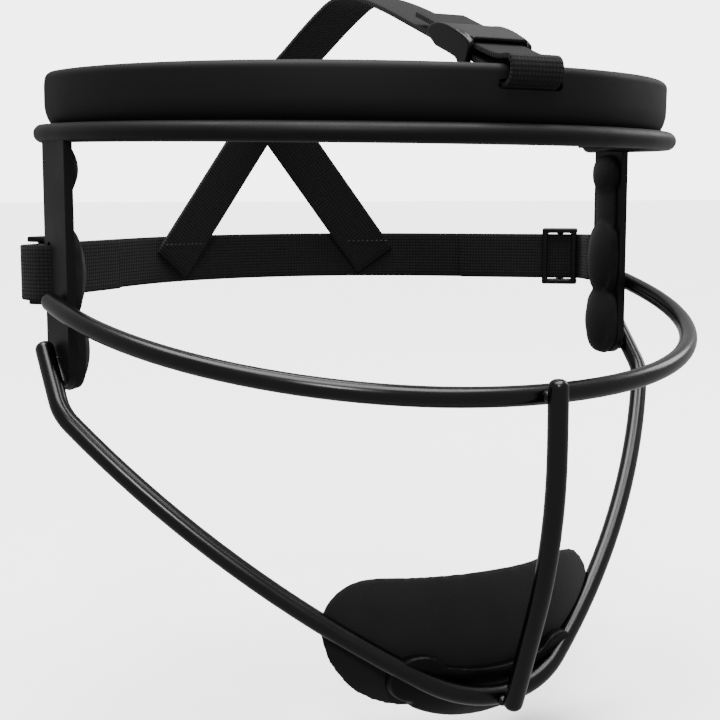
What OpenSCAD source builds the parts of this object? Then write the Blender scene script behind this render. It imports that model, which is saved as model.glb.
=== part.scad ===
// Fielder's face mask: a brow band on a steel wire frame, worn with elastic straps.
// +Z is up and the mask looks along -Y. The origin is the middle of the head,
// halfway between the temple pads, where the head carries the mask.

/* [Wire frame] */
// Diameter of the steel wire
wire_d = 4.8; // [4:0.1:5.2]
// Forward reach of the eye wire at the middle
eye_reach = 82.8; // [80:0.2:85]
// Height of the eye wire at its foremost point
eye_z = -20.7; // [-23:0.1:-18]
// Rise of the eye wire towards the ears, in degrees
eye_tilt = 12.6; // [11:0.2:14]
// Forward reach of the jaw wire at the chin
jaw_reach = 66.8; // [65:0.2:68]
// Height of the jaw wire at the chin
jaw_z = -96.6; // [-100:0.2:-94]
// Slope of the jaw wire's plane, in degrees from level
jaw_tilt = 49; // [47:0.5:51]

/* [Brow band] */
// Radius of the rail's centreline seen from above
rail_r = 86.8; // [86:0.1:87.4]
// Height of the rail's centreline at the ears
rail_z = 39.4; // [38:0.1:41]
// Forward dip of the band, in degrees
brow_tilt = 1.2; // [0:0.1:2]
// Height of the shell above the rail's centreline
shell_h = 15.6; // [14:0.1:18]
// Wall thickness of the shell
shell_t = 4; // [3:0.1:4.4]
// Thickness of the foam liner
liner_t = 6.5; // [4:0.1:8]
// Length of the straight ends behind the half circle
brow_end = 3.5; // [2:0.1:6]

/* [Side bars] */
// Width of the flat steel bar
bar_w = 14.6; // [14:0.1:16]
// Thickness of the flat steel bar
bar_t = 2.3; // [2:0.1:3]
// Height of the bar's lower end
bar_low = -24.6; // [-27:0.1:-22]
// Angle of the bars ahead of the band's widest point, in degrees
bar_angle = 5.1; // [4:0.1:6]

/* [Straps] */
// Width of the elastic webbing
strap_w = 14; // [12:0.1:14.5]
// Thickness of the elastic webbing
strap_t = 1.2; // [0.9:0.05:1.3]
// Height of the rear strap's middle
strap_z = 4.4; // [3:0.1:6]

/* [Chin cup] */
// Width of the foam cup
cup_w = 81; // [76:1:86]
// Thickness of the foam
cup_t = 7; // [5:0.5:8]
// Thickness of the moulded carrier
carrier_t = 3.2; // [2.6:0.1:3.6]

/* [Hidden] */
$fn = 64;

matt_black = "#232323";
gloss_black = "#2b2b2b";
foam_grey = "#3a3a3a";
web_grey = "#303030";
jet = "#101010";

wire_r = wire_d / 2;
arc_y = 10.7;                      // centre of the band's half circle
slit = 0.3;                        // clearance round a part that slides
shell_in = rail_r - 0.5 - shell_t; // inner radius of the shell
shell_out = rail_r - 0.5;
slot_z = 11;                       // brow slot above the rail
slot_w = strap_w + 3.8;
slot_h = 2.2;
face_r = rail_r + 1.2;             // outer face of the side bars, from the arc's centre
bar_top = 36.7;                    // upper end of the side bars, just under the rail
opening_h = strap_w + 1.6;         // height of the slot that takes the rear strap
opening_low = strap_z - opening_h / 2;
strap_gap = 2.2;                   // spacing of the rear strap's two layers
crown_gap = 3;                     // spacing of the crown strap's two layers
crown_angle = 21;                  // slope of the crown strap's front run
rear_angle = 39.6;                 // turn of the rear strap from the back to its straight run
back_r = 78;                       // radius of the rear strap behind the head
back_y = 71;

// ---- plan and outline helpers ----

// Unit vector across a path at its point i
function across(p, i) =
    let (d = p[min(i + 1, len(p) - 1)] - p[max(i - 1, 0)])
    [-d[1], d[0]] / norm(d);

// Outline of a ribbon of thickness t that follows a path
function ribbon(p, t) = concat(
    [for (i = [0 : len(p) - 1]) p[i] + across(p, i) * t / 2],
    [for (i = [len(p) - 1 : -1 : 0]) p[i] - across(p, i) * t / 2]
);

// One pass of corner cutting, and several of them
function cut_corners(p) = concat(
    [p[0]],
    [for (i = [0 : len(p) - 2]) each [p[i] * 0.75 + p[i + 1] * 0.25, p[i] * 0.25 + p[i + 1] * 0.75]],
    [p[len(p) - 1]]
);
function smooth(p, passes) = passes == 0 ? p : smooth(cut_corners(p), passes - 1);

// A path followed by its own mirror image, so that it runs from one side to the other
function both_sides(p) = concat(
    [for (i = [len(p) - 1 : -1 : 1]) [-p[i][0], p[i][1]]],
    p
);

// ---- placing helpers ----

// Mirror copies on both sides of the face
module both() {
    children();
    mirror([1, 0, 0]) children();
}

// Frame of the brow band: origin at the arc's centre, level with the rail
module on_brow() {
    translate([0, arc_y, rail_z]) rotate([brow_tilt, 0, 0]) children();
}

// Frame of the wearer's left side bar: x out from the arc's centre, y rearwards
module on_bar() {
    translate([0, arc_y, 0]) rotate([0, 0, -bar_angle]) children();
}

// A profile in radius and height, swept round the half circle and its straight ends
module round_brow(end) {
    rotate([0, 0, 180]) rotate_extrude(angle = 180) children();
    both() translate([0, end, 0]) rotate([90, 0, 0]) linear_extrude(end) children();
}

// Points of a wire bent in its own plane: each step is [bend radius, degrees] or [0, length]
function bend_path(steps, at = [0, 0], turned = 0) =
    len(steps) == 0 ? [at] :
    let (
        r = steps[0][0],
        size = steps[0][1],
        rest = [for (i = [1 : 1 : len(steps) - 1]) steps[i]],
        hub = at + r * [-sin(turned), cos(turned)],
        parts = ceil(max(size / 7, r * size / 500)),
        ends_at = r == 0 ? at + size * [cos(turned), sin(turned)] : arc_point(hub, r, turned + size),
        ends_turned = r == 0 ? turned : turned + size
    )
    concat(
        [at],
        r == 0 ? [] : [for (i = [1 : 1 : parts - 1]) arc_point(hub, r, turned + size * i / parts)],
        bend_path(rest, ends_at, ends_turned)
    );
function arc_point(hub, r, turned) = hub + r * [sin(turned), -cos(turned)];

// Round wire along a flat path, with rounded ends
module wire(p, d, sides = 16) {
    last = len(p) - 1;
    r = d / 2;
    ahead = (p[1] - p[0]) / norm(p[1] - p[0]);
    behind = (p[last] - p[last - 1]) / norm(p[last] - p[last - 1]);
    rings = concat(
        [for (a = [65, 35]) [p[0] - ahead * r * sin(a), across(p, 0), r * cos(a)]],
        [for (i = [0 : last]) [p[i], across(p, i), r]],
        [for (a = [35, 65]) [p[last] + behind * r * sin(a), across(p, last), r * cos(a)]]
    );
    count = len(rings);
    polyhedron(
        [for (g = rings, k = [0 : sides - 1]) let (a = 360 * k / sides)
            [g[0][0] + g[1][0] * g[2] * cos(a), g[0][1] + g[1][1] * g[2] * cos(a), g[2] * sin(a)]],
        concat(
            [[for (k = [0 : sides - 1]) k]],
            [for (j = [0 : count - 2], k = [0 : sides - 1]) let (n = (k + 1) % sides)
                [j * sides + k, (j + 1) * sides + k, (j + 1) * sides + n, j * sides + n]],
            [[for (k = [sides - 1 : -1 : 0]) (count - 1) * sides + k]]
        )
    );
}

// ---- wire frame ----

module eye_wire() {
    color(gloss_black) translate([0, -eye_reach, eye_z]) rotate([eye_tilt, 0, 0])
        wire(both_sides(bend_path([[102, 12], [86.6, 72], [190, 2]])), wire_d);
}

// A tight curve under the chin, a long flat run, and a bend up beside the bars
jaw_path = bend_path([[31, 38], [277, 22], [14, 29.5], [0, 15.5]]);

// Frame of the jaw wire: origin at its lowest point, y up along its plane
module on_jaw() {
    translate([0, -jaw_reach, jaw_z]) rotate([jaw_tilt, 0, 0]) children();
}

// Room for the jaw wire where it is pressed into what it holds
module jaw_channel() {
    sides = 8;
    half_length = 60;
    held = [for (q = jaw_path) if (q[0] < half_length) q];
    on_jaw() wire(both_sides(held), (wire_d + 0.2) / cos(180 / sides), sides);
}

module jaw_wire() {
    color(gloss_black) on_jaw()
        wire(both_sides(jaw_path), wire_d);
}

// Runs down in front of the eye wire and the jaw wire
module centre_wire() {
    color(gloss_black) translate([0, -eye_reach - wire_d, eye_z + 2]) rotate([0, 90, 0])
        wire(bend_path([[0, 13.5], [123, 20], [0, 24.2]]), wire_d);
}

module side_bar_outline() {
    corner = 6.5;
    opening_t = 2.1;
    difference() {
        union() {
            translate([-bar_w / 2, bar_low + corner]) square([bar_w, bar_top - bar_low - corner]);
            translate([-bar_w / 2 + corner, bar_low]) square([bar_w - 2 * corner, corner + 1]);
            for (s = [-1, 1]) translate([s * (bar_w / 2 - corner), bar_low + corner]) circle(corner);
        }
        translate([bar_w / 2 - 2 * opening_t, opening_low]) square([opening_t, opening_h]);
    }
}

module side_bar() {
    color(matt_black) on_bar() translate([face_r - bar_t, 0, 0])
        rotate([90, 0, 90]) linear_extrude(bar_t) side_bar_outline();
}

module side_bar_left() { side_bar(); }
module side_bar_right() { mirror([1, 0, 0]) side_bar(); }

// ---- welds ----

module bead(size, length, turn) {
    rotate(turn) translate([0, 0, -length / 2]) {
        cylinder(d = size, h = length);
        for (z = [0, length]) translate([0, 0, z]) sphere(d = size);
    }
}

// Where the centre wire crosses the eye wire and the jaw wire
module centre_welds() {
    size = 2.6;
    length = 2.4;
    lean = 20; // slope of the centre wire where it crosses the jaw wire
    color(gloss_black) {
        translate([0, -eye_reach - wire_r, eye_z]) bead(size, length, [0, 90, 0]);
        translate([0, -jaw_reach - wire_r * cos(lean), jaw_z - wire_r * sin(lean)])
            bead(size, length, [0, 90, 0]);
    }
}

// Where the ends of both wires lie on the outer faces of the bars
module bar_welds() {
    size = 3;
    out = face_r + 0.3;
    color(gloss_black) both() on_bar() {
        translate([out, -3.2, -2.8]) bead(size, 4, [90 + eye_tilt, 0, 0]);
        translate([out, -2.4, -19.6]) bead(size, 6, [jaw_tilt - 90, 0, 0]);
    }
}

// Where the bars stand under the rail
module rail_welds() {
    color(matt_black) both() on_bar()
        translate([rail_r, 0, bar_top + 0.2]) bead(2.2, bar_w - 4, [90, 0, 0]);
}

// ---- brow band ----

module brow_rail() {
    color(matt_black) on_brow() {
        round_brow(brow_end) translate([rail_r, 0]) circle(wire_r);
        both() translate([rail_r, brow_end, 0]) sphere(wire_r);
    }
}

// Rounded top edge, flat face, face drawn in above the rail, and a lip behind it
module shell_section() {
    top = shell_h - shell_t / 2;
    round_r = 9;
    fall = 7.5;  // height above which the face is flat
    lip_t = 2.6;
    lip_low = -2;
    difference() {
        union() {
            translate([shell_in, fall]) square([shell_t, top - fall]);
            translate([shell_in + shell_t / 2, top]) circle(shell_t / 2);
            intersection() {
                translate([shell_out - round_r, fall]) circle(round_r);
                translate([shell_in, lip_low]) square([shell_t, fall - lip_low + 0.01]);
            }
            translate([shell_in, lip_low]) square([lip_t, 6]);
        }
        translate([rail_r, 0]) circle(wire_r + 0.05);
    }
}

// Rounds the upper rear corner of each end
module end_corner() {
    r = 4.5;
    translate([0, brow_end - r, shell_h - r]) rotate([0, 90, 0]) difference() {
        translate([-r - 1, 0, shell_in - 1]) cube([r + 1, r + 1, shell_t + 2]);
        translate([0, 0, shell_in - 2]) cylinder(r = r, h = shell_t + 4);
    }
}

module brow_shell() {
    color(matt_black) on_brow() difference() {
        round_brow(brow_end) shell_section();
        both() end_corner();
        translate([-slot_w / 2, -shell_out - 2, slot_z - slot_h / 2]) cube([slot_w, 10, slot_h]);
    }
}

module brow_liner() {
    out_r = shell_in - 0.1;
    reach = 78;
    color(foam_grey) on_brow() difference() {
        rotate([0, 0, -90 - reach]) rotate_extrude(angle = 2 * reach)
            translate([out_r - liner_t, -1.5]) square([liner_t, shell_h]);
        translate([-slot_w / 2, -rail_r, slot_z - 3.2]) cube([slot_w, 20, shell_h]);
    }
}

// ---- temple pads ----

// Rounded block: half width, low and high end, thickness
module lobe(half, low, high, thick) {
    r = min(half, (high - low) / 2) - 0.01;
    rotate([90, 0, 90]) translate([0, 0, -thick]) linear_extrude(thick) {
        for (s = [-1, 1], z = [low + r, high - r]) translate([s * (half - r), z]) circle(r);
        translate([-half, low + r]) square([2 * half, high - low - 2 * r]);
        translate([r - half, low]) square([2 * (half - r) + 0.02, high - low]);
    }
}

// Three lobes on a thin neck, hollowed at the back where the strap goes in
module temple_pad() {
    color(foam_grey) on_bar() translate([face_r - bar_t - 0.1, 0, 0]) difference() {
        union() {
            lobe(6.6, 24.5, 36.3, 3.2);
            lobe(5.4, 10, 30, 1.6);
            lobe(7, -7, 16, 4.6);
            lobe(7.2, -25, -4, 5.2);
        }
        translate([-2.2, 2.4, opening_low]) cube([10, 10, opening_h]);
    }
}

module temple_pad_left() { temple_pad(); }
module temple_pad_right() { mirror([1, 0, 0]) temple_pad(); }

// ---- chin cup ----

cup_y = -4;         // upright axis that the cup curves round
cup_z = -80;        // height at which it stands furthest forward
cup_round = 32;     // its roundness from top to bottom
cup_core = 28;
cup_back = -36;     // rear edge of the foam

// Part of a barrel-shaped wall, between two depths from its outer face
module cup_wall(outer, inner) {
    translate([0, cup_y, cup_z]) rotate([0, 0, 180]) rotate_extrude(angle = 180) difference() {
        translate([cup_core, 0]) circle(cup_round + outer);
        translate([cup_core, 0]) circle(cup_round + inner);
        translate([-200, -100]) square([200 + cup_core, 200]);
    }
}

module cup_outline() {
    half = cup_w / 2;
    top_r = 13;
    low_r = 24;
    top = -67;
    low = -101.5;
    for (s = [-1, 1]) translate([s * (half - top_r), top - top_r]) circle(top_r);
    translate([-half + top_r, top - 25]) square([2 * (half - top_r), 25]);
    intersection() {
        union() {
            for (s = [-1, 1]) translate([s * (half - low_r), low + low_r]) circle(low_r);
            translate([-half + low_r, low]) square([2 * (half - low_r), 30]);
        }
        translate([-half, low]) square([cup_w, top - top_r - low]);
    }
}

module chin_cup() {
    color(foam_grey) difference() {
        intersection() {
            cup_wall(0, -cup_t);
            translate([0, cup_back, 0]) rotate([90, 0, 0]) linear_extrude(cup_core + cup_round)
                cup_outline();
        }
        jaw_channel();
    }
}

// Crescent that backs the jaw wire at the chin
module carrier_outline() {
    tip = 20;    // middle of each rounded end
    tip_z = -91.6;
    tip_r = 6.5;
    intersection() {
        difference() {
            translate([0, -65.2]) circle(39.8);
            translate([0, -36.2]) circle(54);
        }
        translate([-tip, -120]) square([2 * tip, 60]);
    }
    for (s = [-1, 1]) translate([s * tip, tip_z]) circle(tip_r);
}

module chin_carrier() {
    color(jet) difference() {
        intersection() {
            cup_wall(0.1 + carrier_t, 0.1);
            rotate([90, 0, 0]) linear_extrude(eye_reach) carrier_outline();
        }
        jaw_channel();
    }
}

// ---- straps ----

// From the middle of the back round to the side bar, through its slot, and back along itself
rear_half = concat(
    [for (a = [0 : 6.6 : rear_angle + 0.1]) [back_r * sin(a), back_y - back_r + back_r * cos(a)]],
    smooth([
        [74, 33], [86.5, 22.7], [89.8, 19.9], [92.8, 16.6], [91.5, 11.2], [89.6, 7.4], [84.6, 6.9],
        [84.7, 11], [87.9, 18.6], [84.5, 21.4], [72.6, 31.3], [57.9, 43.5]
    ], 3)
);

module rear_strap() {
    color(web_grey) translate([0, 0, strap_z - strap_w / 2]) linear_extrude(strap_w)
        polygon(ribbon(both_sides(rear_half), strap_t));
}

// Over the head from back to front, through the slider, round the brow and back through it
crown_path = smooth([
    [69, 40], [68.7, 48.5], [64.5, 55.5], [54, 61], [42.2, 65.2], [24, 72.6], [6, 78.4], [-14, 73.6],
    [-40, 63.6], [-66, 53.6], [-69.6, 52.2], [-69.3, 48.4], [-77.4, 48.2], [-77.9, 55], [-72, 54.9],
    [-66, 56.8], [-48, 63.7], [-36, 68.3]
], 3);

module crown_strap() {
    color(web_grey) translate([-strap_w / 2, 0, 0]) rotate([90, 0, 90]) linear_extrude(strap_w)
        polygon(ribbon(crown_path, strap_t));
}

// Rises from the rear strap to the lower end of the crown strap
module diagonal_strap() {
    lean = 37;
    piece = [strap_w, strap_t, 9];
    color(web_grey) intersection() {
        hull() {
            translate([31.7, 62.1, strap_z]) rotate([0, 0, -24]) rotate([0, -lean, 0])
                cube(piece, center = true);
            translate([0, 66.5, 51]) rotate([0, -lean, 0]) cube(piece, center = true);
        }
        translate([0.1, 0, strap_z - strap_w / 2]) cube([60, 100, 50]);
    }
}

module diagonal_strap_left() { diagonal_strap(); }
module diagonal_strap_right() { mirror([1, 0, 0]) diagonal_strap(); }

// ---- sliders ----

near = strap_t / 2 + slit;  // distance of a slider's bar from the middle of the webbing
slider_t = 1.2;             // thickness of a slider's bars
slider_bar = 1.8;           // their length along the strap

// Bars across the gap in a slider, as [where each starts along the strap, its length, its underside]
module cross_bars(bars) {
    half = strap_w / 2 + 0.5;
    for (b = bars) translate([b[0], -half, b[2]]) cube([b[1], 2 * half, slider_t]);
}

// Both side rails of a slider, each the same outline stood on edge beside the webbing
module side_rails() {
    wall = 1.5;
    for (side = [-1, 1]) translate([0, side * (strap_w / 2 + 0.4 + wall / 2) + wall / 2, 0])
        rotate([90, 0, 0]) linear_extrude(wall) children();
}

// Domed slider: front bar beneath both layers, broad bar over both, rear bar between them
module crown_slider() {
    under = -near - slider_t;
    over = crown_gap + near;
    color(jet) translate([0, -53, 58.6]) rotate([crown_angle, 0, 0]) rotate([0, 0, 90]) {
        cross_bars([[-10, slider_bar, under], [-9, 12.2, over], [10 - slider_bar, slider_bar, near]]);
        side_rails() polygon(smooth([
            [10, near], [10, crown_gap - near], [8, over], [3.5, over + slider_t], [-4, over + slider_t],
            [-9.5, over + 0.4], [-10, over - 1.2], [-10, under], [-6, under], [-5, -near], [5, -near]
        ], 2));
    }
}

// Two end bars on the inner side of both layers and a centre bar on the outer side
module rear_slider() {
    length = 11;
    inner = -strap_gap - near;
    color(jet) translate([83.9, 24.8, strap_z]) rotate([0, 0, -rear_angle]) rotate([-90, 0, 0]) {
        cross_bars([
            [-length / 2, slider_bar, inner - slider_t],
            [-slider_bar / 2, slider_bar, near],
            [length / 2 - slider_bar, slider_bar, inner - slider_t]
        ]);
        side_rails() translate([-length / 2, inner - slider_t])
            square([length, near + 2 * slider_t - inner]);
    }
}

module rear_slider_left() { rear_slider(); }
module rear_slider_right() { mirror([1, 0, 0]) rear_slider(); }

brow_shell();
brow_liner();
brow_rail();
side_bar_right();
side_bar_left();
eye_wire();
jaw_wire();
centre_wire();
centre_welds();
bar_welds();
rail_welds();
temple_pad_right();
temple_pad_left();
chin_cup();
chin_carrier();
rear_strap();
diagonal_strap_right();
diagonal_strap_left();
crown_strap();
crown_slider();
rear_slider_right();
rear_slider_left();
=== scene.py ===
"""Looks of a fielder's face mask: coated steel wires and bars, a moulded brow band, foam pads and
elastic webbing. Every piece is drawn in millimetres and handed over in metres."""

import math
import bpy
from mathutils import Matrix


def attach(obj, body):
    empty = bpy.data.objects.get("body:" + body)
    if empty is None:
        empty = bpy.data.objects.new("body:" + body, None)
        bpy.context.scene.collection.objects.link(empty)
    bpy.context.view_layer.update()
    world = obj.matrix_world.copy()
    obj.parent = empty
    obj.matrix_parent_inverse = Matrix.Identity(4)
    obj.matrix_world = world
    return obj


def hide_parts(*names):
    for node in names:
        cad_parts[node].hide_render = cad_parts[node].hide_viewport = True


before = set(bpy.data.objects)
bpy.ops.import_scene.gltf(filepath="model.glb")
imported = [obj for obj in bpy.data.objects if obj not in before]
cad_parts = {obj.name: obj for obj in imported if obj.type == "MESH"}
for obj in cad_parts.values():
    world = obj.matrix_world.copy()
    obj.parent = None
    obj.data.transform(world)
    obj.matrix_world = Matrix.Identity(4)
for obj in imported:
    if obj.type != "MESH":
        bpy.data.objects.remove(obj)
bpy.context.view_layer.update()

import types

import bmesh
import bpy
from mathutils import Matrix, Vector

bl_info = {
    "name": "Fielder's face mask",
    "version": (1, 0, 0),
    "blender": (4, 5, 0),
    "location": "3D View > Sidebar > Face mask",
    "description": "Draws a fielder's face mask, piece by piece, round its frame of CAD parts",
    "category": "Object",
}

X, Y, Z = Vector((1, 0, 0)), Vector((0, 1, 0)), Vector((0, 0, 1))


# ---- what a user would change ----


def linear(code):
    """A colour written as sRGB hex, turned linear for the shaders"""
    channels = [int(code[i:i + 2], 16) / 255 for i in (1, 3, 5)]
    return [c / 12.92 if c <= 0.04045 else ((c + 0.055) / 1.055) ** 2.4 for c in channels]


def length(name, description, value):
    """A length, given in millimetres and kept in metres"""
    return bpy.props.FloatProperty(
        name=name, description=description, default=value / 1000, precision=4, unit="LENGTH")


def angle(name, description, degrees):
    """An angle, given in degrees and kept in radians"""
    return bpy.props.FloatProperty(
        name=name, description=description, default=math.radians(degrees), unit="ROTATION")


def colour(name, description, code):
    """A colour, given as sRGB hex and kept linear"""
    return bpy.props.FloatVectorProperty(
        name=name, description=description, default=linear(code), min=0, max=1, subtype="COLOR")


class WireSizes(bpy.types.PropertyGroup):
    wire_d: length("Wire", "Diameter of the round wires and of the brow rail", 4.8)
    eye_reach: length("Eye wire reach", "How far forward the eye wire stands", 82.8)
    eye_z: length("Eye wire height", "Height of the eye wire's foremost point", -20.7)
    eye_tilt: angle("Eye wire rise", "Rise of the eye wire towards the ears", 12.6)
    jaw_reach: length("Jaw wire reach", "How far forward the jaw wire stands", 66.8)
    jaw_z: length("Jaw wire height", "Height of the jaw wire under the chin", -96.6)
    jaw_tilt: angle("Jaw wire slope", "Slope of the jaw wire's plane", 49)


class BandSizes(bpy.types.PropertyGroup):
    rail_r: length("Rail radius", "Radius of the brow rail seen from above", 86.8)
    rail_z: length("Rail height", "Height of the brow rail at the ears", 39.4)
    brow_tilt: angle("Dip", "Forward dip of the brow band", 1.2)
    brow_end: length("Straight ends", "Straight part of the band behind its half circle", 3.5)
    shell_h: length("Shell height", "Height of the brow shell above the rail", 15.6)
    shell_t: length("Shell wall", "Wall thickness of the brow shell", 4)
    liner_t: length("Liner", "Thickness of the padded liner", 6.5)
    bar_w: length("Bar width", "Width of the flat side bars", 14.6)
    bar_t: length("Bar thickness", "Thickness of the flat side bars", 2.3)
    bar_low: length("Bar end", "Height of the side bars' lower end", -24.6)


class SoftSizes(bpy.types.PropertyGroup):
    strap_w: length("Webbing width", "Width of the elastic webbing", 14)
    strap_t: length("Webbing thickness", "Thickness of the elastic webbing", 1.2)
    strap_z: length("Rear strap height", "Height of the rear strap's middle", 4.4)
    cup_w: length("Cup width", "Width of the chin cup", 81)
    cup_t: length("Cup foam", "Thickness of the chin cup's foam", 7)
    carrier_t: length("Carrier", "Thickness of the moulded carrier on the cup", 3.2)


class Colours(bpy.types.PropertyGroup):
    coat: colour("Matt coat", "Powder coat on the rail and the side bars", "#060606")
    enamel: colour("Gloss coat", "Dipped coat on the wires", "#020202")
    shell: colour("Brow shell", "Moulded plastic of the brow shell", "#0a0a0a")
    foam: colour("Foam", "Foam of the pads and the chin cup", "#131314")
    fabric: colour("Liner fabric", "Knitted cover of the brow liner", "#101011")
    webbing: colour("Webbing", "Elastic webbing of the straps", "#131313")
    slider: colour("Sliders", "Moulded plastic of the strap sliders", "#050505")
    floor: colour("Floor", "Floor that the mask hangs over", "#fcfcfc")


def sizes(context):
    """Every size of the mask: lengths in millimetres, angles in radians"""
    found = types.SimpleNamespace(
        arc_y=10.7, bar_angle=math.radians(5.1), bar_top=36.7, crown_gap=3, strap_gap=2.2)
    for group in (context.scene.mask_wires, context.scene.mask_band, context.scene.mask_soft):
        for key in group.__annotations__:
            unit = group.bl_rna.properties[key].unit
            setattr(found, key, getattr(group, key) * (1000 if unit == "LENGTH" else 1))
    found.shell_out = found.rail_r - 0.5
    found.shell_in = found.shell_out - found.shell_t
    found.face_r = found.rail_r + 1.2
    return found


# ---- drawing ----


def turn(degrees, axis):
    """A turn about an axis through the origin"""
    return Matrix.Rotation(math.radians(degrees), 4, axis)


def brow_frame(s):
    """Place of the brow band: origin at the arc's centre, level with the rail"""
    return Matrix.Translation((0, s.arc_y, s.rail_z)) @ Matrix.Rotation(s.brow_tilt, 4, "X")


def bar_frame(s):
    """Place of the wearer's left side bar: x out from the arc's centre, y rearwards"""
    return Matrix.Translation((0, s.arc_y, 0)) @ Matrix.Rotation(-s.bar_angle, 4, "Z")


def jaw_frame(s):
    """Place of the jaw wire: origin at its lowest point, y up along its plane"""
    return Matrix.Translation((0, -s.jaw_reach, s.jaw_z)) @ Matrix.Rotation(s.jaw_tilt, 4, "X")


def edges_of(geometry):
    """The edges in what an operator made"""
    return [g for g in geometry if isinstance(g, bmesh.types.BMEdge)]


def verts_of(geometry):
    """The vertices in what an operator made"""
    return [g for g in geometry if isinstance(g, bmesh.types.BMVert)]


def loop(bm, points):
    """A closed outline through a few points"""
    verts = [bm.verts.new(p) for p in points]
    return [bm.edges.new((a, b)) for a, b in zip(verts, verts[1:] + verts[:1])]


def arc(centre, radius, first, last, steps):
    """Points round part of a circle in a section, as radius and height"""
    return [
        (centre[0] + radius * math.cos(math.radians(a)), centre[1] + radius * math.sin(math.radians(a)))
        for a in (first + (last - first) * i / steps for i in range(steps + 1))]


def carry(bm, ring, at, heading, up, steps):
    """Carries a closed outline along straight runs [0, length] and round bends [radius, degrees]"""
    for radius, size in steps:
        moved = {v for e in ring for v in e.verts}
        if radius:
            hub = at + up.cross(heading) * radius
            turned = Matrix.Rotation(math.radians(size), 3, up)
            # A ring at least every 3 degrees and every 6 mm
            fine = math.ceil(max(size / 3, radius * math.radians(size) / 6))
            made = bmesh.ops.spin(
                bm, geom=list(moved) + ring, cent=hub, axis=up, angle=math.radians(size), steps=fine)
            ring = edges_of(made["geom_last"])
            at, heading = hub + turned @ (at - hub), turned @ heading
        else:
            made = bmesh.ops.extrude_edge_only(bm, edges=ring)["geom"]
            far = set(verts_of(made))
            bmesh.ops.translate(bm, verts=verts_of(made), vec=heading * size)
            ring = [e for e in edges_of(made) if all(v in far for v in e.verts)]
            at = at + heading * size
    return ring, heading


def cap(bm, ring, heading, reach=0, rounding=0):
    """Closes an outline. With a rounding, the end stands out by a reach and is domed."""
    face = bmesh.ops.edgeloop_fill(bm, edges=ring)["faces"]
    if not rounding:
        return
    made = bmesh.ops.extrude_face_region(bm, geom=face)["geom"]
    bmesh.ops.delete(bm, geom=face, context="FACES_ONLY")
    bmesh.ops.translate(bm, verts=verts_of(made), vec=heading * reach)
    end = [g for g in made if isinstance(g, bmesh.types.BMFace)]
    bmesh.ops.bevel(
        bm, geom=list(end[0].edges), offset=rounding, segments=5, profile=0.5, affect="EDGES", material=-1)


def both_sides(bm):
    """Adds the mirror image across the middle and joins it on"""
    bmesh.ops.mirror(
        bm, geom=bm.verts[:] + bm.edges[:] + bm.faces[:], matrix=Matrix(), merge_dist=0.001, axis="X")


def wire(s, at, heading, up, steps, mirrored):
    """Round wire of even thickness, bent step by step, with domed ends"""
    bm = bmesh.new()
    r = s.wire_d / 2
    place = Matrix.Translation(at) @ heading.to_track_quat("Z", "Y").to_matrix().to_4x4()
    bmesh.ops.create_circle(bm, radius=r, segments=32, matrix=place)
    ring = bm.edges[:]
    last, ahead = carry(bm, ring, at, heading, up, steps)
    cap(bm, last, ahead, r * 0.85, r * 0.8)
    if mirrored:
        both_sides(bm)
    else:
        cap(bm, ring, -heading, r * 0.85, r * 0.8)
    return bm


def block(size, at, rounding=0.0, segments=3, along=None):
    """Box with rounded edges: all of them, or only those that run along one axis"""
    bm = bmesh.new()
    bmesh.ops.create_cube(bm, size=1, matrix=Matrix.Translation(at) @ Matrix.Diagonal((*size, 1)))
    if rounding:
        chosen = [
            e for e in bm.edges
            if along is None or abs((e.verts[1].co - e.verts[0].co).normalized().dot(along)) > 0.9]
        bmesh.ops.bevel(
            bm, geom=chosen, offset=rounding, segments=segments, profile=0.5, affect="EDGES", material=-1)
    return bm


def rod(radius, size, place):
    """Closed cylinder about its own middle"""
    bm = bmesh.new()
    bmesh.ops.create_cone(
        bm, cap_ends=True, segments=96, radius1=radius, radius2=radius, depth=size, matrix=place)
    return bm


def loose_object(bm):
    """Makes a working object, for a modifier to act on"""
    mesh = bpy.data.meshes.new("working")
    bm.to_mesh(mesh)
    bm.free()
    obj = bpy.data.objects.new("working", mesh)
    bpy.context.collection.objects.link(obj)
    return obj


def settle(obj, *others):
    """The shape that an object's modifiers give it, with the working objects cleared away"""
    bpy.context.view_layer.update()
    mesh = bpy.data.meshes.new_from_object(obj.evaluated_get(bpy.context.evaluated_depsgraph_get()))
    bm = bmesh.new()
    bm.from_mesh(mesh)
    bpy.data.meshes.remove(mesh)
    for o in (obj, *others):
        bpy.data.meshes.remove(o.data)
    return bm


def combine(bm, other, operation):
    """DIFFERENCE, INTERSECT or UNION of two closed shapes"""
    for shape in (bm, other):
        bmesh.ops.recalc_face_normals(shape, faces=shape.faces)
    obj, tool = loose_object(bm), loose_object(other)
    step = obj.modifiers.new("cut", "BOOLEAN")
    step.operation, step.object, step.solver = operation, tool, "EXACT"
    return settle(obj, tool)


def soften(bm, grain, passes):
    """Melts a shape's edges and joins as moulding does, to the size of a grain"""
    bmesh.ops.recalc_face_normals(bm, faces=bm.faces)
    obj = loose_object(bm)
    melt = obj.modifiers.new("melt", "REMESH")
    melt.mode, melt.voxel_size = "VOXEL", grain
    relax = obj.modifiers.new("relax", "SMOOTH")
    relax.factor, relax.iterations = 0.5, passes
    return settle(obj)


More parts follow.
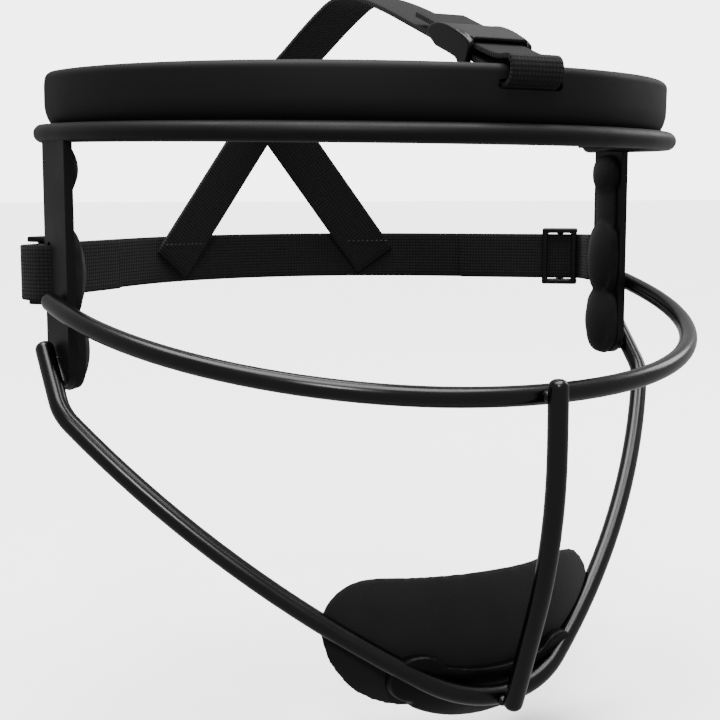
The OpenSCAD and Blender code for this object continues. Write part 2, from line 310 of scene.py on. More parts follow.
def piece(name, bm, material, nodes=(), body="mask", sharp=40):
    """Makes an object, in metres and in place, of what was drawn in millimetres"""
    bmesh.ops.scale(bm, verts=bm.verts, vec=(0.001, 0.001, 0.001))
    bmesh.ops.recalc_face_normals(bm, faces=bm.faces)
    mesh = bpy.data.meshes.new(name)
    bm.to_mesh(mesh)
    bm.free()
    mesh.shade_smooth()
    mesh.set_sharp_from_angle(angle=math.radians(sharp))
    mesh.materials.append(material)
    obj = bpy.data.objects.new(name, mesh)
    bpy.context.collection.objects.link(obj)
    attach(obj, body)
    if nodes:
        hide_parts(*nodes)
    return obj


def break_edges(obj, width, segments=3, degrees=35):
    """Rounds the edges that a tool or a mould leaves"""
    step = obj.modifiers.new("edges", "BEVEL")
    step.width, step.segments = width / 1000, segments
    step.limit_method, step.angle_limit = "ANGLE", math.radians(degrees)
    step.harden_normals = True


# ---- webbing ----


def cut_corners(route, passes):
    """A route with its corners cut off, over and over"""
    for _ in range(passes):
        kept = [p for a, b in zip(route, route[1:]) for p in (a * 0.75 + b * 0.25, a * 0.25 + b * 0.75)]
        route = [route[0], *kept, route[-1]]
    return route


def webbing(route, width, place, rows=8):
    """Flat woven strap laid along a route drawn in a plane, with its own map in metres along and across"""
    bm = bmesh.new()
    columns = len(route) - 1
    travelled = [0]
    for a, b in zip(route, route[1:]):
        travelled.append(travelled[-1] + (b - a).length)
    bmesh.ops.create_grid(bm, x_segments=columns, y_segments=rows, size=0.5)
    weave = bm.loops.layers.uv.new("weave")
    spots = {v: (round((v.co.x + 0.5) * columns), v.co.y) for v in bm.verts}
    for face in bm.faces:
        for corner in face.loops:
            i, across = spots[corner.vert]
            corner[weave].uv = (travelled[i] / 1000, across * width / 1000)
    for v, (i, across) in spots.items():
        v.co = (route[i].x, route[i].y, across * width)
    bmesh.ops.recalc_face_normals(bm, faces=bm.faces)
    bmesh.ops.transform(bm, verts=bm.verts, matrix=place)
    return bm


def thicken(obj, thickness):
    """Gives webbing its thickness and blunts the edges of its selvedge"""
    wall = obj.modifiers.new("wall", "SOLIDIFY")
    wall.thickness, wall.offset = thickness / 1000, 0
    wall.use_even_offset = True
    rim = obj.modifiers.new("selvedge", "BEVEL")
    rim.width, rim.segments = thickness / 3500, 2
    rim.limit_method, rim.angle_limit = "ANGLE", math.radians(60)


# ---- materials ----


def add(tree, kind, settings, sockets):
    """Adds a node with its settings, and sets or links its sockets"""
    made = tree.nodes.new(kind)
    for key, value in settings.items():
        setattr(made, key, value)
    for socket in made.inputs:
        if socket.identifier in sockets:
            value = sockets[socket.identifier]
            if isinstance(value, bpy.types.NodeSocket):
                tree.links.new(value, socket)
            else:
                socket.default_value = value
    return made


def blank(name):
    """A material with an empty tree and its output"""
    material = bpy.data.materials.new(name)
    material.use_nodes = True
    material.node_tree.nodes.clear()
    return material, material.node_tree


def finish_material(tree, sockets):
    """Adds the shader and links it to the output"""
    shader = add(tree, "ShaderNodeBsdfPrincipled", {}, sockets)
    add(tree, "ShaderNodeOutputMaterial", {}, {"Surface": shader.outputs["BSDF"]})


def shade(colour, factor):
    """A colour made lighter or darker, with its alpha"""
    return (*(min(c * factor, 1) for c in colour), 1)


def cycles(mm):
    """Noise scale whose features are about that many millimetres across"""
    return 1000 / mm


def moulded(name, colour, rough, rough_spread, grain, grain_depth, patch, patch_lift, gloss=0.25):
    """Coated metal or moulded plastic. A fine grain breaks up the highlights, and broad patches of
    wear change how sharp they are."""
    material, tree = blank(name)
    where = add(tree, "ShaderNodeTexCoord", {}, {}).outputs["Object"]
    patches = add(tree, "ShaderNodeTexNoise", {}, {"Vector": where, "Scale": cycles(patch), "Detail": 4})
    tint = add(tree, "ShaderNodeMix", {"data_type": "RGBA"}, {
        "Factor_Float": patches.outputs["Fac"], "A_Color": shade(colour, 1 - patch_lift),
        "B_Color": shade(colour, 1 + patch_lift)})
    sharpness = add(tree, "ShaderNodeMapRange", {}, {
        "Value": patches.outputs["Fac"], "From Min": 0.3, "From Max": 0.7,
        "To Min": rough - rough_spread, "To Max": rough + rough_spread})
    peel = add(tree, "ShaderNodeTexNoise", {}, {"Vector": where, "Scale": cycles(grain), "Detail": 2})
    bump = add(tree, "ShaderNodeBump", {}, {
        "Strength": 1, "Distance": grain_depth / 1000, "Height": peel.outputs["Fac"]})
    finish_material(tree, {
        "Base Color": tint.outputs[2], "Roughness": sharpness.outputs["Result"],
        "Normal": bump.outputs["Normal"], "Specular IOR Level": gloss})
    return material


def cellular(name, colour, cell, depth):
    """Closed-cell foam: burst cells pit its skin, which keeps it matt, and pressure marks mottle it"""
    material, tree = blank(name)
    where = add(tree, "ShaderNodeTexCoord", {}, {}).outputs["Object"]
    marks = add(tree, "ShaderNodeTexNoise", {}, {"Vector": where, "Scale": cycles(9), "Detail": 5})
    tint = add(tree, "ShaderNodeMix", {"data_type": "RGBA"}, {
        "Factor_Float": marks.outputs["Fac"], "A_Color": shade(colour, 0.75), "B_Color": shade(colour, 1.3)})
    cells = add(tree, "ShaderNodeTexVoronoi", {}, {"Vector": where, "Scale": cycles(cell)})
    bump = add(tree, "ShaderNodeBump", {}, {
        "Strength": 0.8, "Distance": depth / 1000, "Height": cells.outputs["Distance"]})
    finish_material(tree, {
        "Base Color": tint.outputs[2], "Roughness": 0.88, "Normal": bump.outputs["Normal"],
        "Sheen Weight": 0.04, "Sheen Roughness": 0.5, "Specular IOR Level": 0.1})
    return material


def woven(name, colour, pitch, depth):
    """Elastic webbing: rubber cords along it and yarn across it make a grid of small pillows. A painted
    highlight lightens their crowns and painted shade darkens the colour between them. The grid is drawn on
    the strap's own map, so it turns with it."""
    material, tree = blank(name)
    where = add(tree, "ShaderNodeUVMap", {"uv_map": "weave"}, {}).outputs["UV"]
    scaled = add(tree, "ShaderNodeVectorMath", {"operation": "SCALE"}, {
        "Vector": where, "Scale": 1000 * math.pi / pitch})
    split = add(tree, "ShaderNodeSeparateXYZ", {}, {"Vector": scaled.outputs["Vector"]})
    waves = []
    for way in "XY":
        wave = add(tree, "ShaderNodeMath", {"operation": "SINE"}, {"Value": split.outputs[way]})
        waves.append(add(tree, "ShaderNodeMath", {"operation": "ABSOLUTE"}, {"Value": wave.outputs["Value"]}))
    pillows = add(tree, "ShaderNodeMath", {"operation": "MULTIPLY"}, {
        "Value": waves[0].outputs["Value"], "Value_001": waves[1].outputs["Value"]})
    yarn = add(tree, "ShaderNodeTexNoise", {}, {"Vector": where, "Scale": cycles(1.4), "Detail": 3})
    yarn_and_painted_crown_light = add(tree, "ShaderNodeMath", {"operation": "MULTIPLY"}, {
        "Value": pillows.outputs["Value"], "Value_001": yarn.outputs["Fac"]})
    # The pillows' height, broken up by yarn noise, sets the colour: a painted highlight on each crown and
    # painted shade between them
    tint = add(tree, "ShaderNodeMix", {"data_type": "RGBA"}, {
        "Factor_Float": yarn_and_painted_crown_light.outputs["Value"], "A_Color": shade(colour, 0.55), "B_Color": shade(colour, 2.4)})
    bump = add(tree, "ShaderNodeBump", {}, {
        "Strength": 1, "Distance": depth / 1000, "Height": pillows.outputs["Value"]})
    finish_material(tree, {
        "Base Color": tint.outputs[2], "Roughness": 0.85, "Normal": bump.outputs["Normal"],
        "Sheen Weight": 0.05, "Sheen Roughness": 0.4, "Specular IOR Level": 0.1})
    return material


def finishes(context):
    """The mask's materials, made on first use"""
    c = context.scene.mask_colours
    made = types.SimpleNamespace()
    wanted = {
        # Baked powder coat: flat black with a faint orange peel that keeps highlights broad
        "coat": lambda n: moulded(n, c.coat, 0.5, 0.06, 0.7, 0.012, 14, 0.15, gloss=0.15),
        # Dipped coat: runs smooth while wet, so it mirrors the lights in long lines, slightly wavy
        "enamel": lambda n: moulded(n, c.enamel, 0.24, 0.03, 3.5, 0.001, 11, 0.2, gloss=0.26),
        # Moulded plastic from a spark-eroded tool: even matt grain, a soft sheen at low angles
        "shell": lambda n: moulded(n, c.shell, 0.6, 0.05, 0.35, 0.01, 22, 0.12, gloss=0.12),
        # Polished acetal: almost pure black with sharp reflections
        "slider": lambda n: moulded(n, c.slider, 0.28, 0.04, 1.8, 0.004, 6, 0.2, gloss=0.15),
        # Moulded nylon of the carrier: a satin black between coat and acetal
        "carrier": lambda n: moulded(n, c.slider, 0.4, 0.06, 0.5, 0.006, 8, 0.2, gloss=0.08),
        # Closed-cell foam: matt all over, pitted by burst cells 0.7 mm across
        "foam": lambda n: cellular(n, c.foam, 0.7, 0.05),
        # Knitted cover: its loops make the same kind of pattern as cells, coarser and deeper
        "fabric": lambda n: cellular(n, c.fabric, 0.9, 0.12),
        # Its cords lie about 0.6 mm apart, too fine to show, so the weave is drawn at 0.95 mm
        "webbing": lambda n: woven(n, c.webbing, 0.95, 0.12),
        # Bonded nylon thread, a little glossier than the webbing that it holds
        "thread": lambda n: moulded(n, shade(c.webbing, 1.1)[:3], 0.5, 0.05, 0.3, 0.02, 5, 0.2),
    }
    names = {
        "coat": "powder coated steel", "enamel": "dip coated wire", "shell": "spark textured plastic",
        "slider": "polished acetal", "carrier": "moulded nylon", "foam": "closed cell foam",
        "fabric": "knitted polyester", "webbing": "woven elastic webbing", "thread": "bonded nylon thread"}
    for key, make in wanted.items():
        setattr(made, key, bpy.data.materials.get(names[key]) or make(names[key]))
    return made


# ---- operators ----


class MASK_OT_wires(bpy.types.Operator):
    """Draw the eye wire, the jaw wire, the centre wire and their welds"""
    bl_idname = "mask.wires"
    bl_label = "Wires"

    def execute(self, context):
        s, look = sizes(context), finishes(context)
        eye = wire(s, Vector(), X, Z, [(102, 12), (86.6, 72), (190, 2)], True)
        place = Matrix.Translation((0, -s.eye_reach, s.eye_z)) @ Matrix.Rotation(s.eye_tilt, 4, "X")
        bmesh.ops.transform(eye, verts=eye.verts, matrix=place)
        piece("eye_wire_coated", eye, look.enamel, ["eye_wire"])
        jaw = wire(s, Vector(), X, Z, [(31, 38), (277, 22), (14, 29.5), (0, 15.5)], True)
        bmesh.ops.transform(jaw, verts=jaw.verts, matrix=jaw_frame(s))
        piece("jaw_wire_coated", jaw, look.enamel, ["jaw_wire"])
        start = Vector((0, -s.eye_reach - s.wire_d, s.eye_z + 2))
        centre = wire(s, start, -Z, X, [(0, 13.5), (123, 20), (0, 24.2)], False)
        piece("centre_wire_coated", centre, look.enamel, ["centre_wire"])
        for name in ("centre_welds", "bar_welds"):
            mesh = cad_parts[name].data
            mesh.materials.clear()
            mesh.materials.append(look.enamel)
        return {"FINISHED"}


class MASK_OT_bars(bpy.types.Operator):
    """Draw the brow rail, the side bars and the welds between them"""
    bl_idname = "mask.bars"
    bl_label = "Rail and bars"

    def execute(self, context):
        s, look = sizes(context), finishes(context)
        rail = wire(s, Vector((0, -s.rail_r, 0)), X, Z, [(s.rail_r, 90), (0, s.brow_end)], True)
        bmesh.ops.transform(rail, verts=rail.verts, matrix=brow_frame(s))
        piece("brow_rail_coated", rail, look.coat, ["brow_rail"])
        corner, opening = 6.5, 2.1
        top = s.bar_top + 1.5    # runs up into the rail
        for side, name in ((1, "left"), (-1, "right")):
            bar = block((s.bar_t, s.bar_w, top - s.bar_low),
                        (s.face_r - s.bar_t / 2, 0, (top + s.bar_low) / 2))
            low = [e for e in bar.edges if all(v.co.z < s.bar_low + 0.1 for v in e.verts)
                   and abs((e.verts[0].co - e.verts[1].co).normalized().x) > 0.9]
            bmesh.ops.bevel(
                bar, geom=low, offset=corner, segments=10, profile=0.5, affect="EDGES", material=-1)
            gap = block((8, opening, s.strap_w + 1.6),
                        (s.face_r, s.bar_w / 2 - 1.5 * opening, s.strap_z), opening / 2.1, 5, X)
            bar = combine(bar, gap, "DIFFERENCE")
            bmesh.ops.transform(bar, verts=bar.verts, matrix=bar_frame(s))
            bmesh.ops.scale(bar, verts=bar.verts, vec=(side, 1, 1))
            node = "side_bar_" + name
            obj = piece(node + "_coated", bar, look.coat, [node])
            break_edges(obj, 0.45)
        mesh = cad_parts["rail_welds"].data
        mesh.materials.clear()
        mesh.materials.append(look.coat)
        return {"FINISHED"}


class MASK_OT_shell(bpy.types.Operator):
    """Draw the moulded brow shell with its strap slot"""
    bl_idname = "mask.shell"
    bl_label = "Brow shell"

    def execute(self, context):
        s, look = sizes(context), finishes(context)
        crest = s.shell_h - s.shell_t / 2
        fall, round_r = 7.5, 9
        outline = [(s.shell_in, -1), (s.shell_in + 2, -1), (s.shell_in + 2, 1.4)]
        outline += arc((s.shell_out - round_r, fall), round_r, -42, 0, 7)
        outline += arc((s.shell_in + s.shell_t / 2, crest), s.shell_t / 2, 0, 180, 12)
        shell = bmesh.new()
        ring = loop(shell, [(0, -r, z) for r, z in outline])
        last, ahead = carry(shell, ring, Vector((0, -s.rail_r, 0)), X, Z, [(s.rail_r, 90), (0, s.brow_end)])
        cap(shell, last, ahead)
        both_sides(shell)
        corner = 4.5
        waste = block((4 * s.rail_r, corner + 1, corner + 1),
                      (0, s.brow_end - corner + (corner + 1) / 2, s.shell_h - corner + (corner + 1) / 2))
        hub = Matrix.Translation((0, s.brow_end - corner, s.shell_h - corner)) @ turn(90, "Y")
        waste = combine(waste, rod(corner, 5 * s.rail_r, hub), "DIFFERENCE")
        shell = combine(shell, waste, "DIFFERENCE")
        slot_w, slot_h, slot_z = s.strap_w + 3.8, 2.2, 11
        slot = block((slot_w, 14, slot_h), (0, -s.shell_out, slot_z), 1.09, 6, Y)
        shell = combine(shell, slot, "DIFFERENCE")
        bmesh.ops.transform(shell, verts=shell.verts, matrix=brow_frame(s))
        obj = piece("brow_shell_moulded", shell, look.shell, ["brow_shell"], sharp=30)
        break_edges(obj, 0.4)
        return {"FINISHED"}


class MASK_OT_liner(bpy.types.Operator):
    """Draw the padded liner inside the brow shell"""
    bl_idname = "mask.liner"
    bl_label = "Brow liner"

    def execute(self, context):
        s, look = sizes(context), finishes(context)
        out_r, low, high, reach = s.shell_in - 0.1, 0, 14.1, 77
        liner = bmesh.new()
        section = [(out_r, low), (out_r, high), (out_r - s.liner_t, high), (out_r - s.liner_t, low)]
        ring = loop(liner, [(0, -r, z) for r, z in section])
        last, ahead = carry(liner, ring, Vector((0, -out_r, 0)), X, Z, [(out_r, reach)])
        cap(liner, last, ahead)
        both_sides(liner)
        gap = block((s.strap_w + 3.8, 24, 12), (0, -s.rail_r + 10, 11 - 3.2 + 6), 2, 4, Y)
        liner = soften(combine(liner, gap, "DIFFERENCE"), 0.9, 6)
        bmesh.ops.transform(liner, verts=liner.verts, matrix=brow_frame(s))
        obj = piece("brow_liner_padded", liner, look.fabric, ["brow_liner"], sharp=180)
        return {"FINISHED"}


class MASK_OT_temple_pads(bpy.types.Operator):
    """Draw the foam pads inside the side bars"""
    bl_idname = "mask.temple_pads"
    bl_label = "Temple pads"

    def execute(self, context):
        s, look = sizes(context), finishes(context)
        face = s.face_r - s.bar_t - 0.1
        # Half width, low end, high end and thickness of each lobe
        lobes = [(6.6, 24.5, 36.3, 3.2), (5.4, 10, 30, 1.6), (7, -7, 16, 4.6), (7.2, -25, -4, 5.2)]
        for side, name in ((1, "left"), (-1, "right")):
            pad = block((1, 9, 50), (face, 0, 5))
            for half, low, high, thick in lobes:
                middle, tall = Vector((face, 0, (low + high) / 2)), (high - low) / 2
                base = block((thick, 1.9 * half, 1.9 * tall), middle, 0.9 * min(half, tall), 8, X)
                dome = bmesh.new()
                bmesh.ops.create_uvsphere(
                    dome, u_segments=48, v_segments=32, radius=1,
                    matrix=Matrix.Translation(middle) @ Matrix.Diagonal((thick * 1.05, half, tall, 1)))
                pad = combine(combine(base, dome, "UNION"), pad, "UNION")
            pad = soften(pad, 0.45, 8)
            back = block((20, 40, 80), (face + 10, 0, 5))
            pad = combine(pad, back, "DIFFERENCE")
            recess = block((10, 10, s.strap_w + 1.6), (face - 2.2 + 5, 2.4 + 5, s.strap_z), 0.8, 3)
            pad = combine(pad, recess, "DIFFERENCE")
            bmesh.ops.transform(pad, verts=pad.verts, matrix=bar_frame(s))
            bmesh.ops.scale(pad, verts=pad.verts, vec=(side, 1, 1))
            node = "temple_pad_" + name
            obj = piece(node + "_foam", pad, look.foam, [node], sharp=60)
        return {"FINISHED"}


# The cup's outer face: an arc of CUP_ROUND about a circle of CUP_CORE, round an upright axis
CUP_Y, CUP_Z, CUP_ROUND, CUP_CORE = -4, -80, 32, 28


def cup_wall(outer, inner):
    """Part of a barrel-shaped wall round the chin, between two depths from its outer face"""
    hub = (CUP_CORE, CUP_Z)
    wall = bmesh.new()
    outline = arc(hub, CUP_ROUND + outer, -90, 90, 48) + arc(hub, CUP_ROUND + inner, 90, -90, 36)
    ring = loop(wall, [(0, CUP_Y - r, z) for r, z in outline])
    start = Vector((0, CUP_Y - CUP_CORE, 0))
    last, ahead = carry(wall, ring, start, X, Z, [(CUP_CORE, 90)])
    cap(wall, last, ahead)
    both_sides(wall)
    return wall


def skin(bm, keeps):
    """Keeps only the faces whose middle passes a test"""
    bmesh.ops.delete(bm, geom=[f for f in bm.faces if not keeps(f.calc_center_median())], context="FACES")
    return bm


class MASK_OT_chin(bpy.types.Operator):
    """Draw the foam chin cup and the carrier that holds it on the jaw wire"""
    bl_idname = "mask.chin"
    bl_label = "Chin cup"

    def execute(self, context):
        s, look = sizes(context), finishes(context)
        half, top, low = s.cup_w / 2, -67, -101.5
        top_r, low_r = 13, 24
        outline = arc((half - top_r, top - top_r), top_r, 0, 90, 10)
        outline += arc((top_r - half, top - top_r), top_r, 90, 180, 10)
        outline += arc((low_r - half, low + low_r), low_r, 187, 270, 16)
        outline += arc((half - low_r, low + low_r), low_r, 270, 353, 16)
        form = bmesh.new()
        ring = loop(form, [(x, -30, z) for x, z in outline])
        last, ahead = carry(form, ring, Vector((0, -30, 0)), -Y, Z, [(0, 50)])
        cap(form, ring, Y)
        cap(form, last, ahead)
        plug = combine(cup_wall(0, -CUP_ROUND + 2), form, "INTERSECT")

        def outside(p):
            ring_r = math.hypot(p.x, p.y - CUP_Y) - CUP_CORE
            return abs(math.hypot(ring_r, p.z - CUP_Z) - CUP_ROUND) < 0.4

        cup = skin(plug, outside)
        bmesh.ops.recalc_face_normals(cup, faces=cup.faces)
        middle = Vector((0, 0, CUP_Z))
        if sum(f.normal.dot(f.calc_center_median() - middle) * f.calc_area() for f in cup.faces) < 0:
            bmesh.ops.reverse_faces(cup, faces=cup.faces)
        bmesh.ops.solidify(cup, geom=cup.faces[:], thickness=s.cup_t)
        cup = soften(cup, 0.7, 7)
        obj = piece("chin_cup_foam", cup, look.foam, ["chin_cup"], sharp=180)
        lie = turn(90, "X")
        # The carrier's outline: one circle less another, cut off square and given round ends
        foot_r, foot_z, hollow_r, hollow_z = 39.8, -65.2, 54, -36.2
        tip, tip_z, tip_r = 20, -91.6, 6.5
        crescent = combine(
            rod(foot_r, 160, Matrix.Translation((0, 0, foot_z)) @ lie),
            rod(hollow_r, 170, Matrix.Translation((0, 0, hollow_z)) @ lie), "DIFFERENCE")
        crescent = combine(crescent, block((2 * tip, 180, 60), (0, 0, -90)), "INTERSECT")
        for side in (-1, 1):
            end = rod(tip_r, 150, Matrix.Translation((side * tip, 0, tip_z)) @ lie)
            crescent = combine(crescent, end, "UNION")
        crescent = combine(crescent, block((100, 80, 80), (0, -80, -90)), "INTERSECT")
        carrier = soften(combine(cup_wall(0.1 + s.carrier_t, 0.1), crescent, "INTERSECT"), 0.45, 14)
        piece("chin_carrier_moulded", carrier, look.carrier, ["chin_carrier"], sharp=180)
        return {"FINISHED"}


def flat(points):
    """Points of a route or an outline drawn in a plane"""
    return [Vector(p) for p in points]


class MASK_OT_straps(bpy.types.Operator):
    """Lay the rear strap, the two diagonals and the crown strap"""
    bl_idname = "mask.straps"
    bl_label = "Straps"

    def execute(self, context):
        s, look = sizes(context), finishes(context)
        back_r, back_y, turned = 78, 71, 39.6
        bend = [Vector((back_r * math.sin(a), back_y - back_r + back_r * math.cos(a)))
                for a in (math.radians(turned * i / 12) for i in range(13))]
        side = bend + cut_corners(flat([
            (74, 33), (86.5, 22.7), (89.8, 19.9), (92.8, 16.6), (91.5, 11.2), (89.6, 7.4), (84.6, 6.9),
            (84.7, 11), (87.9, 18.6), (84.5, 21.4), (72.6, 31.3), (57.9, 43.5)]), 3)
        route = [Vector((-p.x, p.y)) for p in reversed(side[1:])] + side
        rear = webbing(route, s.strap_w, Matrix.Translation((0, 0, s.strap_z)))
        obj = piece("rear_strap_woven", rear, look.webbing, ["rear_strap"], sharp=50)
        thicken(obj, s.strap_t)
        crown_route = cut_corners(flat([
            (69, 40), (68.7, 48.5), (64.5, 55.5), (54, 61), (42.2, 65.2), (24, 72.6), (6, 78.4), (-14, 73.6),
            (-40, 63.6), (-66, 53.6), (-69.6, 52.2), (-69.3, 48.4), (-77.4, 48.2), (-77.9, 55), (-72, 54.9),
            (-66, 56.8), (-48, 63.7), (-36, 68.3)]), 3)
        stand = turn(90, "Z") @ turn(90, "X")
        crown = webbing(crown_route, s.strap_w, stand)
        obj = piece("crown_strap_woven", crown, look.webbing, ["crown_strap"], sharp=50)
        thicken(obj, s.strap_t)
        self.diagonals(s, look)
        self.stitching(s, look)
        return {"FINISHED"}

    def diagonals(self, s, look):
        """Straps from the rear strap up to the crown strap"""
        low, high = Vector((33.5, 61.4, s.strap_z + 1)), Vector((0, 66.5, 51))
        rise = (high - low).normalized()
        lie = math.radians(24)    # how far round the back of the head it lies
        across = rise.cross(Vector((-math.sin(lie), -math.cos(lie), 0))).normalized()
        facing = across.cross(rise)
        reach, below = (high - low).length, 3.4
        for side, name in ((1, "left"), (-1, "right")):
            route = [Vector((-below + (reach + below) * i / 24, 0)) for i in range(25)]
            place = Matrix.Translation(low) @ Matrix((rise, facing, across)).transposed().to_4x4()
            strap = webbing(route, s.strap_w, place)
            bmesh.ops.bisect_plane(
                strap, geom=strap.verts[:] + strap.edges[:] + strap.faces[:], plane_co=(0.05, 0, 0),
                plane_no=X, clear_inner=True)
            bmesh.ops.scale(strap, verts=strap.verts, vec=(side, 1, 1))
            bmesh.ops.recalc_face_normals(strap, faces=strap.faces)
            node = "diagonal_strap_" + name
            obj = piece(node + "_woven", strap, look.webbing, [node], sharp=50)
            thicken(obj, s.strap_t)

    def stitching(self, s, look):
        """Rows of lockstitch where the diagonals are sewn to the rear strap"""
        thread = bmesh.new()
        start, end = Vector((25.2, 61.2, s.strap_z + 4.6)), Vector((38.6, 57.6, s.strap_z + 4.6))
        count, thread_r = 9, 0.22
        step = (end - start) / count
        aim = step.to_track_quat("X", "Z").to_matrix().to_4x4()
        stitch = aim @ Matrix.Diagonal((step.length * 0.36, thread_r, thread_r, 1))
        for side in (1, -1):
            for i in range(count):
                place = Matrix.Translation(start.lerp(end, (i + 0.5) / count)) @ stitch
                if side < 0:
                    place = Matrix.Diagonal((-1, 1, 1, 1)) @ place
                bmesh.ops.create_icosphere(thread, subdivisions=1, radius=1, matrix=place)
        piece("strap_stitches", thread, look.thread, sharp=180)


def slider_shape(outline, bars, s):
    """Moulded slider: an outline for its side rails, and bars as (start, length, underside, thickness)"""
    half, wall = s.strap_w / 2 + 0.4, 1.5
    shape = None
    for side in (-1, 1):
        rail = bmesh.new()
        ring = loop(rail, [(x, side * half, z) for x, z in outline])
        last, _ = carry(rail, ring, Vector((0, side * half, 0)), Y * side, Z, [(0, wall)])
        cap(rail, ring, -Y)
        cap(rail, last, Y)
        shape = rail if shape is None else combine(shape, rail, "UNION")
    for start, reach, low, thick in bars:
        bar = block((reach, 2 * half + 0.4, thick), (start + reach / 2, 0, low + thick / 2),
                    min(thick, reach) * 0.3, 3, Y)
        shape = combine(shape, bar, "UNION")
    return soften(shape, 0.28, 5)


class MASK_OT_sliders(bpy.types.Operator):
    """Draw the three strap sliders"""
    bl_idname = "mask.sliders"
    bl_label = "Sliders"

    def execute(self, context):
        s, look = sizes(context), finishes(context)
        near, thick = s.strap_t / 2 + 0.3, 1.2
        under, over = -near - thick, s.crown_gap + near
        outline = cut_corners(flat([
            (10, near), (10, s.crown_gap - near), (8, over), (3.5, over + thick), (-4, over + thick),
            (-9.5, over + 0.4), (-10, over - 1.2), (-10, under), (-6, under), (-5, -near), (5, -near)]), 2)
        crown = slider_shape(outline, [
            (-10, 1.8, under, thick), (-9, 12.2, over, thick), (8.2, 1.8, near, thick)], s)
        place = Matrix.Translation((0, -53, 58.6)) @ turn(21, "X") @ turn(90, "Z")
        bmesh.ops.transform(crown, verts=crown.verts, matrix=place)
        piece("crown_slider_moulded", crown, look.slider, ["crown_slider"], "crown_slider", 180)
        inner = -s.strap_gap - near
        outline = [(-5.5, inner - thick), (5.5, inner - thick), (5.5, near + thick), (-5.5, near + thick)]
        for side, name in ((1, "left"), (-1, "right")):
            rear = slider_shape(outline, [
                (-5.5, 1.8, inner - thick, thick), (-0.9, 1.8, near, thick),
                (3.7, 1.8, inner - thick, thick)], s)
            place = Matrix.Translation((83.9, 24.8, s.strap_z)) @ turn(-39.6, "Z") @ turn(-90, "X")
            bmesh.ops.transform(rear, verts=rear.verts, matrix=place)
            bmesh.ops.scale(rear, verts=rear.verts, vec=(side, 1, 1))
            body = "rear_slider_" + name
            piece(body + "_moulded", rear, look.slider, [body], body, 180)
        return {"FINISHED"}


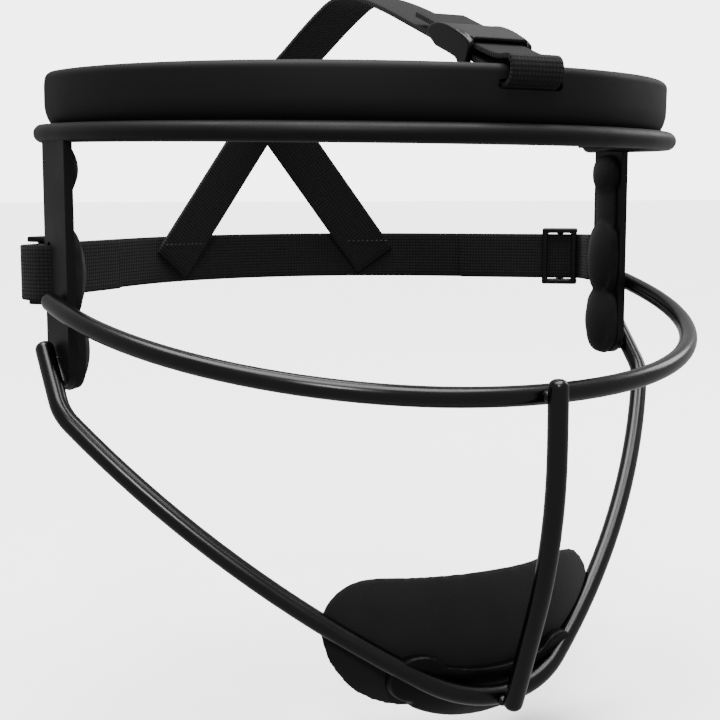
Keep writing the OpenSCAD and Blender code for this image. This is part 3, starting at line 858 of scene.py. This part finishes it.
class MASK_OT_stage(bpy.types.Operator):
    """Set up the floor, the lights and the camera"""
    bl_idname = "mask.stage"
    bl_label = "Stage"

    def execute(self, context):
        scene = context.scene
        floor = bmesh.new()
        level = Matrix.Translation((0, 0, -0.112))
        bmesh.ops.create_grid(floor, x_segments=4, y_segments=4, size=20, matrix=level)
        mesh = bpy.data.meshes.new("studio_floor")
        floor.to_mesh(mesh)
        floor.free()
        obj = bpy.data.objects.new("studio_floor", mesh)
        scene.collection.objects.link(obj)
        material, tree = blank("pale studio paper")
        where = add(tree, "ShaderNodeTexCoord", {}, {}).outputs["Object"]
        fibres = add(tree, "ShaderNodeTexNoise", {}, {"Vector": where, "Scale": 60, "Detail": 3})
        tint = add(tree, "ShaderNodeMix", {"data_type": "RGBA"}, {
            "Factor_Float": fibres.outputs["Fac"], "A_Color": shade(scene.mask_colours.floor, 0.99),
            "B_Color": shade(scene.mask_colours.floor, 1.01)})
        finish_material(tree, {"Base Color": tint.outputs[2], "Roughness": 0.9})
        mesh.materials.append(material)
        # The floor is only looked at: it would light the undersides of the black wires
        obj.visible_glossy = False
        obj.visible_diffuse = False

        # A white studio: bright behind the mask, dimmer in what the black coatings reflect
        world = bpy.data.worlds.new("studio")
        world.use_nodes = True
        tree = world.node_tree
        tree.nodes.clear()
        seen = add(tree, "ShaderNodeLightPath", {}, {}).outputs["Is Camera Ray"]
        strength = add(tree, "ShaderNodeMapRange", {}, {"Value": seen, "To Min": 0.65, "To Max": 5})
        backdrop = add(tree, "ShaderNodeBackground", {}, {
            "Color": (1, 1, 1, 1), "Strength": strength.outputs["Result"]})
        add(tree, "ShaderNodeOutputWorld", {}, {"Surface": backdrop.outputs["Background"]})
        scene.world = world

        # An overcast of light from above, which keeps the floor evenly pale out to its edge
        sky = bpy.data.lights.new("overcast", "SUN")
        sky.energy, sky.angle = 11, math.radians(60)
        scene.collection.objects.link(bpy.data.objects.new("overcast", sky))
        # Power in watts, width in metres and place of the softboxes
        for name, power, width, at in (
                ("key", 9, 0.25, (-0.5, -0.9, 0.7)),
                ("rim", 2, 0.3, (0.8, 0.1, 0.4))):
            lamp = bpy.data.lights.new(name, "AREA")
            lamp.energy, lamp.size = power, width
            light = bpy.data.objects.new(name, lamp)
            light.location = at
            light.rotation_euler = (-Vector(at)).to_track_quat("-Z", "Y").to_euler()
            scene.collection.objects.link(light)

        # A long lens a little above the brow, off to the wearer's right
        camera = bpy.data.cameras.new("camera")
        camera.lens = 67.26
        view = bpy.data.objects.new("camera", camera)
        view.location = (-0.18052, -0.32799, 0.02448)
        view.rotation_euler = (math.radians(90 - 7.07), 0, math.radians(-28.42))
        scene.collection.objects.link(view)
        scene.camera = view
        return {"FINISHED"}


OPERATORS = (
    MASK_OT_wires, MASK_OT_bars, MASK_OT_shell, MASK_OT_liner, MASK_OT_temple_pads, MASK_OT_chin,
    MASK_OT_straps, MASK_OT_sliders, MASK_OT_stage)


class MASK_PT_panel(bpy.types.Panel):
    """Lists the mask's pieces, sizes and colours"""
    bl_label = "Face mask"
    bl_idname = "MASK_PT_panel"
    bl_space_type = "VIEW_3D"
    bl_region_type = "UI"
    bl_category = "Face mask"

    def draw(self, context):
        for operator in OPERATORS:
            self.layout.operator(operator.bl_idname)
        for key in GROUPS:
            group = getattr(context.scene, key)
            for name in group.__annotations__:
                self.layout.prop(group, name)


GROUPS = {"mask_wires": WireSizes, "mask_band": BandSizes, "mask_soft": SoftSizes, "mask_colours": Colours}
CLASSES = (*GROUPS.values(), *OPERATORS, MASK_PT_panel)


def register():
    for cls in CLASSES:
        bpy.utils.register_class(cls)
    for key, group in GROUPS.items():
        setattr(bpy.types.Scene, key, bpy.props.PointerProperty(type=group))


def unregister():
    for key in GROUPS:
        delattr(bpy.types.Scene, key)
    for cls in reversed(CLASSES):
        bpy.utils.unregister_class(cls)


def main():
    register()
    for operator in OPERATORS:
        part, name = operator.bl_idname.split(".")
        getattr(getattr(bpy.ops, part), name)()


if __name__ == "__main__":
    main()
